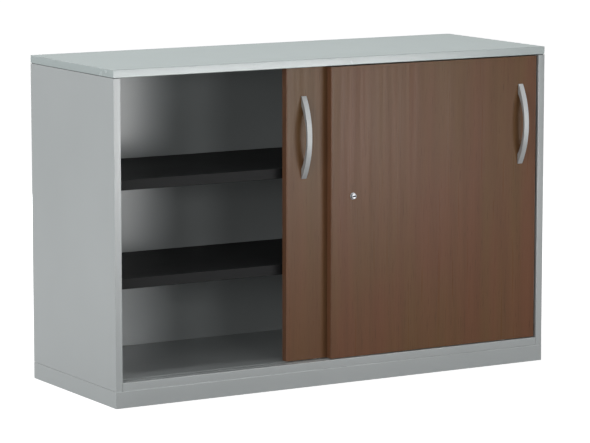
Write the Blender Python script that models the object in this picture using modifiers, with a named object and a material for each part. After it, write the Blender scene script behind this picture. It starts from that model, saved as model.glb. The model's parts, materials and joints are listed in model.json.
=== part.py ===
"""A low office cupboard: a folded sheet-steel carcass on a flush plinth, two wood-effect
sliding doors that pass each other in two planes, two folded steel shelves on hooked clips,
bow handles, and a push lock in the right door.

Lengths are in metres. X runs from left to right, Y from front to back and Z upwards.
The empty named cupboard lies on the floor at the middle of the carcass front, so each
fixed piece is placed from the front plane. Each door has an empty of its own.
"""

import math

import bmesh
import bpy

# Overall sizes of the carcass
WIDTH = 1.200
DEPTH = 0.435
HEIGHT = 0.790

# Clearances that many pieces share
GAP = 0.0003  # between two pieces that touch
GLUE_LINE = 0.0001  # under a glued edge band
OVERRUN = 0.010  # how far a cutter runs past the face that it cuts
MERGE_DISTANCE = 0.00001  # points nearer than this in a turned or filled shape are one

# Top board
TOP_THICKNESS = 0.019
TOP_ROUND = 0.0015
SHADOW_GAP = 0.001  # dark joint between the sides and the top
SHADOW_INSET = 0.003  # how far the seat in that joint stands back

# Side panels, folded from sheet and closed at the top
SHEET = 0.001
SIDE_THICKNESS = 0.018
SIDE_ROUND = 0.0012

# Slots for the shelf clips, in the inner skin of each side
SLOT_FIRST = 0.0667  # middle of the lowest slot, above the cupboard's floor
SLOT_PITCH = 0.0332
SLOT_TOP_MARGIN = 0.040
SLOT_HEIGHT = 0.012
SLOT_WIDTH = 0.003
SLOT_FRONT_INSET = 0.085
SLOT_REAR_INSET = 0.060

# Plinth, four mitred channels
PLINTH_HEIGHT = 0.040
PLINTH_FLANGE = 0.025
PLINTH_SHEET = 0.0015
PLINTH_ROUND = 0.0008

# Bottom panel, a folded tray with a trough for the running track
BOTTOM_HEIGHT = 0.020
BOTTOM_SHEET = 0.0012
BOTTOM_ROUND = 0.0012
BOTTOM_RETURN = 0.012

# Back panel, a tray open to the rear
BACK_INSET = 0.020  # from the rear of the sides to the panel's front face
BACK_FLANGE = 0.018
BACK_ROUND = 0.0008

# Shelves
SHELF_FRONT = 0.055  # from the carcass front to the lip
SHELF_REAR_GAP = 0.002
SHELF_END_GAP = 0.0015
SHELF_LIP = 0.025
SHELF_RETURN = 0.014
SHELF_SHEET = 0.001
SHELF_ROUND = 0.0015
LOWER_SHELF_SLOT = 4  # the slot that carries each shelf, counted from 0
UPPER_SHELF_SLOT = 11

# Shelf clips
CLIP_RISE = 0.010  # from the middle of the slot to the shelf's underside
CLIP_REACH = 0.014
CLIP_LEDGE_WIDTH = 0.018
CLIP_SHEET = 0.0015
CLIP_BLADE = 0.0024
CLIP_GUSSET = 0.016
CLIP_TAB_HEIGHT = 0.007
CLIP_HOOK_DROP = 0.004
CLIP_HOOK_THICKNESS = 0.0018

# Doors
DOOR_THICKNESS = 0.019
DOOR_SETBACK = 0.003  # front door behind the carcass front
DOOR_PLANE_GAP = 0.0035
DOOR_SIDE_GAP = 0.0045
DOOR_OVERLAP = 0.033
DOOR_FLOOR_GAP = 0.002
DOOR_TOP_GAP = 0.003
DOOR_ROUND = 0.0005
BAND_THICKNESS = 0.002
BAND_ROUND = 0.0008
OPEN_HANDLE_GAP = 0.0565  # between the left handle and the right door, left door open

# Running track in the floor and guide track in the top
TRACK_BORDER = 0.0085  # beside the middle of each groove
TRACK_END_INSET = 0.004
RUN_HEIGHT = 0.0075
RUN_GROOVE_WIDTH = 0.005
RUN_GROOVE_DEPTH = 0.0055
GUIDE_HEIGHT = 0.012
GUIDE_GROOVE_WIDTH = 0.006
GUIDE_GROOVE_DEPTH = 0.009

# Rollers, each in a housing let into the door's bottom edge
ROLLER_INSET = 0.090  # from the door's edge to the wheel's middle
WHEEL_RADIUS = 0.010
WHEEL_WIDTH = 0.004
WHEEL_CROWN = 0.0006
WHEEL_HUB_RADIUS = 0.0045
WHEEL_WEB_RECESS = 0.0008
WHEEL_RIM = 0.0025
WHEEL_CLEARANCE = 0.0015
WHEEL_SIDE_PLAY = 0.0005
AXLE_RADIUS = 0.0015
HOUSING_LENGTH = 0.056
HOUSING_WIDTH = 0.011
HOUSING_DROP = 0.001
HOUSING_HEIGHT = 0.0185
HOUSING_ROUND = 0.0015

# Guide shoes in the door's top edge
SHOE_INSET = 0.060
SHOE_LENGTH = 0.036
SHOE_WIDTH = 0.010
SHOE_DEPTH = 0.010
SHOE_ROUND = 0.001
TONGUE_LENGTH = 0.028
TONGUE_WIDTH = 0.005
TONGUE_TOP_GAP = 0.001

# Bow handles
HANDLE_LENGTH = 0.198
HANDLE_WIDTH = 0.013
HANDLE_PROJECTION = 0.0295
HANDLE_END_HEIGHT = 0.002
HANDLE_GRIP_DEPTH = 0.0235  # finger room behind the bow
HANDLE_GRIP_LENGTH = 0.150
HANDLE_ROUND = 0.0016
HANDLE_INSET = 0.048
HANDLE_TOP_INSET = 0.167  # from the door's top edge to the handle's middle
HANDLE_SCREW_SPACING = 0.160

# Handle screws, countersunk in the back of the door
SCREW_RADIUS = 0.002
SCREW_HEAD_RADIUS = 0.0038
SCREW_HEAD_HEIGHT = 0.0022
SCREW_BITE = 0.007
SCREW_TIP = 0.001

# Push lock
LOCK_INSET = 0.0615  # from the right door's free edge
LOCK_HEIGHT = 0.392
LOCK_TRAVEL = 0.0045
ROSE_RADIUS = 0.0083
ROSE_HEIGHT = 0.0014
ROSE_ROUND = 0.0006
BARREL_WALL = 0.0008
BARREL_END_WALL = 0.002
BARREL_BACK_INSET = 0.0005
LOCK_NUT_RADIUS = 0.0125
LOCK_NUT_HEIGHT = 0.0024
PLUNGER_RADIUS = 0.0065
PLUNGER_STAND = 0.0048  # in front of the rose while unlocked
PLUNGER_ROUND = 0.0006
PIN_RADIUS = 0.004
PIN_REACH = 0.003  # into the space between the doors once pushed
PLUG_RADIUS = 0.005
PLUG_LENGTH = 0.011
KEYWAY_LENGTH = 0.0086
KEYWAY_WIDTH = 0.0028
KEYWAY_DEPTH = 0.007

# Strike on the left door, which the lock's pin blocks
STRIKE_THICKNESS = 0.002
STRIKE_GRIP = 0.0125  # laid over the door's face
STRIKE_HEIGHT = 0.030
STRIKE_LEG = 0.016
STRIKE_PLAY = 0.0005
STRIKE_ROUND = 0.0004

# Door buffers and the end stop of the left door
BUFFER_RADIUS = 0.005
BUFFER_ROUND = 0.0015
BUFFER_END_INSET = 0.045  # from the door's ends
STOP_LENGTH = 0.012
STOP_RISE = 0.010
STOP_WIDTH = 0.012
STOP_PLAY = 0.0005
STOP_GROOVE_PLAY = 0.0004
STOP_ROUND = 0.0012

# Facets
ARC_STEPS = 24
ROUND_STEPS = 28
SMALL_ROUND_STEPS = 16
BEVEL_SEGMENTS = 2
HANDLE_BEVEL_SEGMENTS = 3
NUT_SIDES = 6
POINT_WEIGHT = 1.0
SHARP_ANGLE = math.radians(30)

# Places that follow from the sizes above
CLEAR_HALF = WIDTH / 2 - SIDE_THICKNESS
TOP_UNDERSIDE = HEIGHT - TOP_THICKNESS
SIDE_TOP = TOP_UNDERSIDE - SHADOW_GAP
FLOOR = PLINTH_HEIGHT + BOTTOM_HEIGHT
BACK_FACE = DEPTH - BACK_INSET
DOOR_WIDTH = CLEAR_HALF - DOOR_SIDE_GAP + DOOR_OVERLAP / 2
DOOR_BOTTOM = FLOOR + DOOR_FLOOR_GAP
DOOR_HEIGHT = TOP_UNDERSIDE - DOOR_TOP_GAP - DOOR_BOTTOM
RIGHT_DOOR_FACE = DOOR_SETBACK
LEFT_DOOR_FACE = DOOR_SETBACK + DOOR_THICKNESS + DOOR_PLANE_GAP
RIGHT_DOOR_MIDDLE = CLEAR_HALF - DOOR_SIDE_GAP - DOOR_WIDTH / 2
LEFT_DOOR_CLOSED = -RIGHT_DOOR_MIDDLE
LEFT_DOOR_MIDDLE = RIGHT_DOOR_MIDDLE - OPEN_HANDLE_GAP - HANDLE_WIDTH / 2 - HANDLE_INSET
HANDLE_HEIGHT = DOOR_HEIGHT - HANDLE_TOP_INSET
RIGHT_RUN = RIGHT_DOOR_FACE + DOOR_THICKNESS / 2
LEFT_RUN = LEFT_DOOR_FACE + DOOR_THICKNESS / 2
TRACK_MIDDLE = (RIGHT_RUN + LEFT_RUN) / 2
TRACK_WIDTH = LEFT_RUN - RIGHT_RUN + 2 * TRACK_BORDER
TRACK_LENGTH = 2 * (CLEAR_HALF - TRACK_END_INSET)
# The wheel's middle above the door's bottom edge
WHEEL_HEIGHT = WHEEL_RADIUS + GAP - RUN_GROOVE_DEPTH - DOOR_FLOOR_GAP
LOCK_ACROSS = LOCK_INSET - DOOR_WIDTH / 2
BARREL_BORE = PLUNGER_RADIUS + GAP
BARREL_RADIUS = BARREL_BORE + BARREL_WALL
FRONT_REACH = HANDLE_PROJECTION + GAP - DOOR_SETBACK
CARCASS_FRONT = FRONT_REACH - (FRONT_REACH + DEPTH) / 2


def empty_the_scene():
    for obj in list(bpy.data.objects):
        bpy.data.objects.remove(obj, do_unlink=True)


def new_collection(name):
    collection = bpy.data.collections.new(name)
    bpy.context.scene.collection.children.link(collection)
    return collection


def principled(name, colour, roughness, metallic=0.0):
    material = bpy.data.materials.new(name)
    material.use_nodes = True
    shader = material.node_tree.nodes["Principled BSDF"]
    shader.inputs["Base Color"].default_value = (*colour, 1.0)
    shader.inputs["Roughness"].default_value = roughness
    shader.inputs["Metallic"].default_value = metallic
    material.diffuse_color = (*colour, 1.0)
    return material


empty_the_scene()
PARTS = new_collection("office_cupboard")
CUTTERS = new_collection("cutters")
CUTTERS.hide_render = True

CARCASS_GREY = principled("carcass_grey", (0.46, 0.49, 0.49), 0.42)
TOP_GREY = principled("top_grey", (0.50, 0.54, 0.53), 0.45)
DOOR_DECOR = principled("door_decor", (0.145, 0.085, 0.060), 0.50)
DOOR_BAND = principled("door_band", (0.130, 0.065, 0.035), 0.45)
SATIN_METAL = principled("satin_metal", (0.62, 0.63, 0.64), 0.32, 1.0)
CHROME = principled("chrome", (0.80, 0.80, 0.80), 0.12, 1.0)
SHELF_BLACK = principled("shelf_black", (0.012, 0.013, 0.014), 0.45)
TRACK_GREY = principled("track_grey", (0.40, 0.42, 0.42), 0.50)
ROLLER_WHITE = principled("roller_white", (0.62, 0.62, 0.60), 0.40)
HOUSING_BLACK = principled("housing_black", (0.020, 0.020, 0.022), 0.50)
ZINC_STEEL = principled("zinc_steel", (0.55, 0.56, 0.57), 0.35, 1.0)
BUFFER_GREY = principled("buffer_grey", (0.30, 0.30, 0.30), 0.70)


def add_object(name, mesh, place, parent, material):
    """Adds a mesh as a part, or as a cutter where it has no material."""
    obj = bpy.data.objects.new(name, mesh)
    obj.location = place
    obj.parent = parent
    if material:
        mesh.materials.append(material)
        PARTS.objects.link(obj)
    else:
        obj.hide_render = True
        obj.display_type = "WIRE"
        CUTTERS.objects.link(obj)
    return obj


def joint_empty(name, place, parent=None):
    empty = bpy.data.objects.new(name, None)
    empty.location = place
    empty.parent = parent
    PARTS.objects.link(empty)
    return empty


def mesh_of(build, name):
    """A mesh that the function build fills as a bmesh."""
    shape = bmesh.new()
    build(shape)
    mesh = bpy.data.meshes.new(name)
    shape.to_mesh(mesh)
    shape.free()
    return mesh


def add_cubes(shape, boxes):
    """Adds one cube for each (size, centre) in boxes."""
    for size, centre in boxes:
        cube = bmesh.ops.create_cube(shape, size=1.0)["verts"]
        bmesh.ops.scale(shape, vec=size, verts=cube)
        bmesh.ops.translate(shape, vec=centre, verts=cube)


def block(name, low, high, parent, material=None):
    """A box between two corners, with its origin in its middle."""
    size = [b - a for a, b in zip(low, high)]
    middle = [(a + b) / 2 for a, b in zip(low, high)]
    mesh = mesh_of(lambda shape: add_cubes(shape, [(size, (0, 0, 0))]), name)
    return add_object(name, mesh, middle, parent, material)


def rod(name, radius, length, place, axis, parent, material=None, steps=SMALL_ROUND_STEPS):
    """A cylinder centred on a point, along X, Y or Z."""

    def build(shape):
        bmesh.ops.create_cone(
            shape,
            cap_ends=True,
            segments=steps,
            radius1=radius,
            radius2=radius,
            depth=length,
        )

    mesh = mesh_of(build, name)
    mesh.shade_smooth()
    mesh.set_sharp_from_angle(angle=SHARP_ANGLE)
    obj = add_object(name, mesh, place, parent, material)
    obj.rotation_euler = {
        "X": (0, math.pi / 2, 0),
        "Y": (math.pi / 2, 0, 0),
        "Z": (0, 0, 0),
    }[axis]
    return obj


def turned(name, profile, place, turn, parent, material=None, steps=ROUND_STEPS, ring=False):
    """Turns a profile of (radius, height) points, listed down the outer side, about Z.

    A ring's profile is a closed loop. The solid is then turned by the rotation given.
    """
    count = len(profile)
    edges = [(i, i + 1) for i in range(count - 1)]
    if ring:
        edges.append((count - 1, 0))
    mesh = bpy.data.meshes.new(name)
    mesh.from_pydata([(radius, 0, height) for radius, height in profile], edges, [])
    obj = add_object(name, mesh, place, parent, material)
    obj.rotation_euler = turn
    screw = obj.modifiers.new("turn", "SCREW")
    screw.axis = "Z"
    screw.angle = 2 * math.pi
    screw.steps = steps
    screw.render_steps = steps
    screw.use_merge_vertices = True
    screw.merge_threshold = MERGE_DISTANCE
    screw.use_smooth_shade = True
    return obj


def extruded_outline(name, points, thickness, place, turn, parent, material=None):
    """A flat outline in its own XY plane, as thick as given about that plane."""
    curve = bpy.data.curves.new(name, "CURVE")
    curve.dimensions = "2D"
    curve.fill_mode = "BOTH"
    curve.extrude = thickness / 2
    spline = curve.splines.new("POLY")
    spline.points.add(len(points) - 1)
    for point, (across, along) in zip(spline.points, points):
        point.co = (across, along, 0, POINT_WEIGHT)
    spline.use_cyclic_u = True
    outline = bpy.data.objects.new(name + "_outline", curve)
    PARTS.objects.link(outline)
    graph = bpy.context.evaluated_depsgraph_get()
    mesh = bpy.data.meshes.new_from_object(outline.evaluated_get(graph))
    bpy.data.objects.remove(outline, do_unlink=True)
    shape = bmesh.new()
    shape.from_mesh(mesh)
    bmesh.ops.remove_doubles(shape, verts=shape.verts, dist=MERGE_DISTANCE)
    bmesh.ops.recalc_face_normals(shape, faces=shape.faces)
    shape.to_mesh(mesh)
    shape.free()
    mesh.name = name
    mesh.materials.clear()
    obj = add_object(name, mesh, place, parent, material)
    obj.rotation_euler = turn
    return obj


def round_edges(obj, width, segments=BEVEL_SEGMENTS):
    bevel = obj.modifiers.new("rounded edges", "BEVEL")
    bevel.width = width
    bevel.segments = segments
    bevel.limit_method = "ANGLE"
    bevel.angle_limit = SHARP_ANGLE
    return obj


def combine(obj, other, operation):
    boolean = obj.modifiers.new(other.name, "BOOLEAN")
    boolean.operation = operation
    boolean.solver = "EXACT"
    boolean.object = other
    return obj


def cut(obj, *cutters):
    for cutter in cutters:
        combine(obj, cutter, "DIFFERENCE")
    return obj


def join(obj, *others):
    for other in others:
        combine(obj, other, "UNION")
    return obj


def arc(half_chord, rise, base, steps):
    """Points (along, out) of an arc over a chord, from one end of it to the other."""
    radius = (half_chord**2 + rise**2) / (2 * rise)
    reach = math.asin(half_chord / radius)
    angles = [reach * (2 * i / steps - 1) for i in range(steps + 1)]
    sink = radius - rise
    return [(radius * math.sin(a), base + radius * math.cos(a) - sink) for a in angles]


def rounded_box(low, high, width, name, parent, material):
    return round_edges(block(name, low, high, parent, material), width)


def slot_height(index):
    """Middle of a shelf slot above the ground."""
    return FLOOR + SLOT_FIRST + index * SLOT_PITCH


def shelf_underside(index):
    return slot_height(index) + CLIP_RISE


def build_top(root):
    top = rounded_box(
        (-WIDTH / 2, 0, TOP_UNDERSIDE),
        (WIDTH / 2, DEPTH, HEIGHT),
        TOP_ROUND,
        "top_panel",
        root,
        TOP_GREY,
    )
    half_length = TRACK_LENGTH / 2 + GAP
    half_width = TRACK_WIDTH / 2 + GAP
    recess = block(
        "cut_top_recess",
        (-half_length, TRACK_MIDDLE - half_width, TOP_UNDERSIDE - OVERRUN),
        (half_length, TRACK_MIDDLE + half_width, TOP_UNDERSIDE + GUIDE_HEIGHT + GAP),
        root,
    )
    cut(top, recess)


def build_track(name, low_height, high_height, groove_width, groove_low, groove_high, root):
    """A double track whose two grooves lie under or over the two doors."""
    track = block(
        name,
        (-TRACK_LENGTH / 2, TRACK_MIDDLE - TRACK_WIDTH / 2, low_height),
        (TRACK_LENGTH / 2, TRACK_MIDDLE + TRACK_WIDTH / 2, high_height),
        root,
        TRACK_GREY,
    )
    for door, run in (("right", RIGHT_RUN), ("left", LEFT_RUN)):
        groove = block(
            f"cut_{name}_{door}",
            (-TRACK_LENGTH / 2 - OVERRUN, run - groove_width / 2, groove_low),
            (TRACK_LENGTH / 2 + OVERRUN, run + groove_width / 2, groove_high),
            root,
        )
        cut(track, groove)


def build_tracks(root):
    build_track(
        "running_track",
        FLOOR - RUN_HEIGHT,
        FLOOR,
        RUN_GROOVE_WIDTH,
        FLOOR - RUN_GROOVE_DEPTH,
        FLOOR + OVERRUN,
        root,
    )
    build_track(
        "guide_track",
        TOP_UNDERSIDE,
        TOP_UNDERSIDE + GUIDE_HEIGHT,
        GUIDE_GROOVE_WIDTH,
        TOP_UNDERSIDE - OVERRUN,
        TOP_UNDERSIDE + GUIDE_GROOVE_DEPTH,
        root,
    )


def build_side(name, hand, root):
    """A hollow side, open below. hand is -1 on the left and 1 on the right."""
    outer = hand * WIDTH / 2
    inner = hand * CLEAR_HALF
    left, right = sorted((outer, inner))
    bottom = PLINTH_HEIGHT + GAP
    side = rounded_box(
        (left, 0, bottom), (right, DEPTH, SIDE_TOP), SIDE_ROUND, name, root, CARCASS_GREY
    )
    hollow = block(
        f"cut_{name}_hollow",
        (left + SHEET, SHEET, bottom - OVERRUN),
        (right - SHEET, DEPTH - SHEET, SIDE_TOP - SHEET),
        root,
    )
    seat = block(
        f"add_{name}_seat",
        (left + SHADOW_INSET, SHADOW_INSET, SIDE_TOP - SHEET / 2),
        (right - SHADOW_INSET, DEPTH - SHADOW_INSET, TOP_UNDERSIDE - GAP),
        root,
    )
    highest = SIDE_TOP - SLOT_TOP_MARGIN
    count = int((highest - slot_height(0)) / SLOT_PITCH) + 1
    slot = (2 * SHEET + GAP, SLOT_WIDTH, SLOT_HEIGHT)
    rows = (SLOT_FRONT_INSET, DEPTH - SLOT_REAR_INSET)
    slots = [(slot, (inner, row, slot_height(i))) for row in rows for i in range(count)]
    slot_cutter = add_object(
        f"cut_{name}_slots",
        mesh_of(lambda shape: add_cubes(shape, slots), f"cut_{name}_slots"),
        (0, 0, 0),
        root,
        None,
    )
    cut(side, hollow)
    join(side, seat)
    cut(side, slot_cutter)


def build_bottom(root):
    half = CLEAR_HALF - GAP
    low = PLINTH_HEIGHT + GAP
    rear = DEPTH - GAP
    bottom = rounded_box(
        (-half, 0, low), (half, rear, FLOOR), BOTTOM_ROUND, "bottom_panel", root, CARCASS_GREY
    )
    inner = half - BOTTOM_SHEET
    hollow = block(
        "cut_bottom_hollow",
        (-inner, BOTTOM_SHEET, low + BOTTOM_SHEET),
        (inner, rear - BOTTOM_SHEET, FLOOR - BOTTOM_SHEET),
        root,
    )
    mouth = block(
        "cut_bottom_mouth",
        (-half + BOTTOM_RETURN, BOTTOM_RETURN, low - OVERRUN),
        (half - BOTTOM_RETURN, rear - BOTTOM_RETURN, FLOOR - 2 * BOTTOM_SHEET),
        root,
    )
    half_length = TRACK_LENGTH / 2 + GAP
    half_width = TRACK_WIDTH / 2 + GAP
    trough_floor = FLOOR - RUN_HEIGHT - GAP
    trough = block(
        "add_bottom_trough",
        (-half_length - SHEET, TRACK_MIDDLE - half_width - SHEET, trough_floor - SHEET),
        (half_length + SHEET, TRACK_MIDDLE + half_width + SHEET, FLOOR - BOTTOM_SHEET / 2),
        root,
    )
    trough_bed = block(
        "cut_bottom_trough",
        (-half_length, TRACK_MIDDLE - half_width, trough_floor),
        (half_length, TRACK_MIDDLE + half_width, FLOOR + OVERRUN),
        root,
    )
    cut(bottom, hollow, mouth)
    join(bottom, trough)
    cut(bottom, trough_bed)


def build_back(root):
    half = CLEAR_HALF - GAP
    low = FLOOR + GAP
    high = TOP_UNDERSIDE - GAP
    rear = BACK_FACE + BACK_FLANGE
    back = rounded_box(
        (-half, BACK_FACE, low), (half, rear, high), BACK_ROUND, "back_panel", root, CARCASS_GREY
    )
    hollow = block(
        "cut_back_hollow",
        (-half + SHEET, BACK_FACE + SHEET, low + SHEET),
        (half - SHEET, rear + OVERRUN, high - SHEET),
        root,
    )
    cut(back, hollow)


def mitre_cutter(name, corner, away, root):
    """A block turned by 45 degrees whose face lies along the mitre at a plinth corner.

    away is the direction from the piece that is cut to the piece beside it.
    """
    size = 4 * PLINTH_FLANGE
    across = [step / math.sqrt(2) for step in away]
    shift = size / 2 - GAP / 2
    place = (corner[0] + across[0] * shift, corner[1] + across[1] * shift, PLINTH_HEIGHT / 2)
    boxes = [((size, size, size), (0, 0, 0))]
    mesh = mesh_of(lambda shape: add_cubes(shape, boxes), name)
    cutter = add_object(name, mesh, place, root, None)
    cutter.rotation_euler = (0, 0, math.pi / 4)
    return cutter


def build_plinth_rail(name, low, high, inward, root):
    """A channel of the plinth, open towards inward, with a mitre at each end."""
    rail = rounded_box((*low, 0), (*high, PLINTH_HEIGHT), PLINTH_ROUND, name, root, CARCASS_GREY)
    across = 0 if inward[0] else 1
    hollow_low = [edge - OVERRUN for edge in low]
    hollow_high = [edge + OVERRUN for edge in high]
    if inward[across] > 0:
        outer = low[across]
        hollow_low[across] = outer + PLINTH_SHEET
    else:
        outer = high[across]
        hollow_high[across] = outer - PLINTH_SHEET
    hollow = block(
        f"cut_{name}_hollow",
        (*hollow_low, PLINTH_SHEET),
        (*hollow_high, PLINTH_HEIGHT - PLINTH_SHEET),
        root,
    )
    cut(rail, hollow)
    for end, edges, step in (("low", low, -1), ("high", high, 1)):
        corner = list(edges)
        corner[across] = outer
        away = list(inward)
        away[1 - across] = step
        cut(rail, mitre_cutter(f"cut_{name}_{end}_mitre", corner, away, root))


def build_plinth(root):
    """Four channels that meet in mitres."""
    half = WIDTH / 2
    inner = half - PLINTH_FLANGE
    rear_inner = DEPTH - PLINTH_FLANGE
    build_plinth_rail("plinth_front", (-half, 0), (half, PLINTH_FLANGE), (0, 1), root)
    build_plinth_rail("plinth_back", (-half, rear_inner), (half, DEPTH), (0, -1), root)
    build_plinth_rail("plinth_left", (-half, 0), (-inner, DEPTH), (1, 0), root)
    build_plinth_rail("plinth_right", (inner, 0), (half, DEPTH), (-1, 0), root)


def build_shelf(name, slot, root):
    half = CLEAR_HALF - SHELF_END_GAP
    low = shelf_underside(slot)
    high = low + SHELF_LIP
    rear = BACK_FACE - SHELF_REAR_GAP
    shelf = rounded_box(
        (-half, SHELF_FRONT, low), (half, rear, high), SHELF_ROUND, name, root, SHELF_BLACK
    )
    hollow = block(
        f"cut_{name}_hollow",
        (-half + SHELF_SHEET, SHELF_FRONT + SHELF_SHEET, low + SHELF_SHEET),
        (half - SHELF_SHEET, rear - SHELF_SHEET, high - SHELF_SHEET),
        root,
    )
    mouth = block(
        f"cut_{name}_mouth",
        (-half + SHELF_RETURN, SHELF_FRONT + SHELF_RETURN, low - OVERRUN),
        (half - SHELF_RETURN, rear - SHELF_RETURN, high - 2 * SHELF_SHEET),
        root,
    )
    cut(shelf, hollow, mouth)


def build_clip(name, hand, row, slot, root):
    """A clip that hooks into a slot and carries a shelf on its ledge."""
    ledge_top = shelf_underside(slot) - GAP
    ledge_low = ledge_top - CLIP_SHEET
    tab_low = slot_height(slot) - SLOT_HEIGHT / 2 + GAP
    tab_high = tab_low + CLIP_TAB_HEIGHT
    hook_low = tab_low - CLIP_HOOK_DROP
    wall = GAP
    hook_face = -SHEET - GAP
    hook_back = hook_face - CLIP_HOOK_THICKNESS
    outline = [
        (wall, ledge_top),
        (CLIP_REACH, ledge_top),
        (CLIP_REACH, ledge_low),
        (wall, ledge_low - CLIP_GUSSET),
        (wall, tab_low),
        (hook_face, tab_low),
        (hook_face, hook_low),
        (hook_back, hook_low),
        (hook_back, tab_high),
        (wall, tab_high),
    ]
    points = [(hand * (CLEAR_HALF - into), height) for into, height in outline]
    clip = extruded_outline(
        name, points, CLIP_BLADE, (0, row, 0), (math.pi / 2, 0, 0), root, ZINC_STEEL
    )
    left, right = sorted((hand * (CLEAR_HALF - wall), hand * (CLEAR_HALF - CLIP_REACH)))
    ledge = block(
        f"add_{name}_ledge",
        (left, row - CLIP_LEDGE_WIDTH / 2, ledge_low),
        (right, row + CLIP_LEDGE_WIDTH / 2, ledge_top),
        root,
    )
    join(clip, ledge)


def build_shelves(root):
    for level, slot in (("lower", LOWER_SHELF_SLOT), ("upper", UPPER_SHELF_SLOT)):
        build_shelf(f"{level}_shelf", slot, root)
        for side, hand in (("left", -1), ("right", 1)):
            for end, row in (("front", SLOT_FRONT_INSET), ("rear", DEPTH - SLOT_REAR_INSET)):
                build_clip(f"{level}_clip_{side}_{end}", hand, row, slot, root)


def build_buffers(root):
    """Domed pads on the sides, which the closed doors rest against."""
    height = DOOR_SIDE_GAP - 2 * GAP
    profile = [
        (0, height),
        (BUFFER_RADIUS - BUFFER_ROUND, height),
        (BUFFER_RADIUS - BUFFER_ROUND / 3, height - BUFFER_ROUND / 3),
        (BUFFER_RADIUS, height - BUFFER_ROUND),
        (BUFFER_RADIUS, 0),
        (0, 0),
    ]
    for side, hand, run in (("left", -1, LEFT_RUN), ("right", 1, RIGHT_RUN)):
        for end, level in (
            ("lower", DOOR_BOTTOM + BUFFER_END_INSET),
            ("upper", DOOR_BOTTOM + DOOR_HEIGHT - BUFFER_END_INSET),
        ):
            turned(
                f"door_buffer_{side}_{end}",
                profile,
                (hand * (CLEAR_HALF - GAP), run, level),
                (0, -hand * math.pi / 2, 0),
                root,
                BUFFER_GREY,
                steps=SMALL_ROUND_STEPS,
            )


def build_end_stop(root):
    """A block in the rear groove, which the left door meets when it is open."""
    left = LEFT_DOOR_MIDDLE + DOOR_WIDTH / 2 + STOP_PLAY
    right = left + STOP_LENGTH
    stop = rounded_box(
        (left, LEFT_RUN - STOP_WIDTH / 2, FLOOR + GAP),
        (right, LEFT_RUN + STOP_WIDTH / 2, FLOOR + STOP_RISE),
        STOP_ROUND,
        "left_door_end_stop",
        root,
        HOUSING_BLACK,
    )
    half_key = RUN_GROOVE_WIDTH / 2 - STOP_GROOVE_PLAY
    key = block(
        "add_end_stop_key",
        (left + STOP_ROUND, LEFT_RUN - half_key, FLOOR - RUN_GROOVE_DEPTH + GAP),
        (right - STOP_ROUND, LEFT_RUN + half_key, FLOOR + STOP_RISE / 2),
        root,
    )
    join(stop, key)


def build_carcass(root):
    build_top(root)
    build_tracks(root)
    build_side("left_side", -1, root)
    build_side("right_side", 1, root)
    build_bottom(root)
    build_back(root)
    build_plinth(root)
    build_shelves(root)
    build_buffers(root)
    build_end_stop(root)


def build_roller(name, across, panel, door):
    """A wheel on its axle, in a housing let into the bottom edge of the door."""
    middle = DOOR_THICKNESS / 2
    low = -HOUSING_DROP
    high = low + HOUSING_HEIGHT
    half_length = HOUSING_LENGTH / 2
    half_width = HOUSING_WIDTH / 2
    mortise = block(
        f"cut_{name}_mortise",
        (across - half_length - GAP, middle - half_width - GAP, -OVERRUN),
        (across + half_length + GAP, middle + half_width + GAP, high + GAP),
        door,
    )
    cut(panel, mortise)
    housing = rounded_box(
        (across - half_length, middle - half_width, low),
        (across + half_length, middle + half_width, high),
        HOUSING_ROUND,
        f"{name}_housing",
        door,
        HOUSING_BLACK,
    )
    half_slot = WHEEL_RADIUS + WHEEL_CLEARANCE
    half_play = WHEEL_WIDTH / 2 + WHEEL_SIDE_PLAY
    wheel_slot = block(
        f"cut_{name}_slot",
        (across - half_slot, middle - half_play, low - OVERRUN),
        (across + half_slot, middle + half_play, WHEEL_HEIGHT + half_slot),
        door,
    )
    place = (across, middle, WHEEL_HEIGHT)
    axle_hole = rod(f"cut_{name}_axle", AXLE_RADIUS + GAP, HOUSING_WIDTH + 2 * OVERRUN, place, "Y", door)
    cut(housing, wheel_slot, axle_hole)
    rod(f"{name}_axle", AXLE_RADIUS, HOUSING_WIDTH - 2 * GAP, place, "Y", door, ZINC_STEEL)
    half = WHEEL_WIDTH / 2
    web = half - WHEEL_WEB_RECESS
    rim = WHEEL_RADIUS - WHEEL_RIM
    bore = AXLE_RADIUS + GAP
    outside = [
        (WHEEL_HUB_RADIUS, half),
        (WHEEL_HUB_RADIUS, web),
        (rim, web),
        (rim, half),
        (WHEEL_RADIUS - WHEEL_CROWN, half),
        (WHEEL_RADIUS, half / 2),
        (WHEEL_RADIUS, -half / 2),
        (WHEEL_RADIUS - WHEEL_CROWN, -half),
        (rim, -half),
        (rim, -web),
        (WHEEL_HUB_RADIUS, -web),
        (WHEEL_HUB_RADIUS, -half),
        (bore, -half),
        (bore, half),
    ]
    turned(f"{name}_wheel", outside, place, (math.pi / 2, 0, 0), door, ROLLER_WHITE, ring=True)


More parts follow.
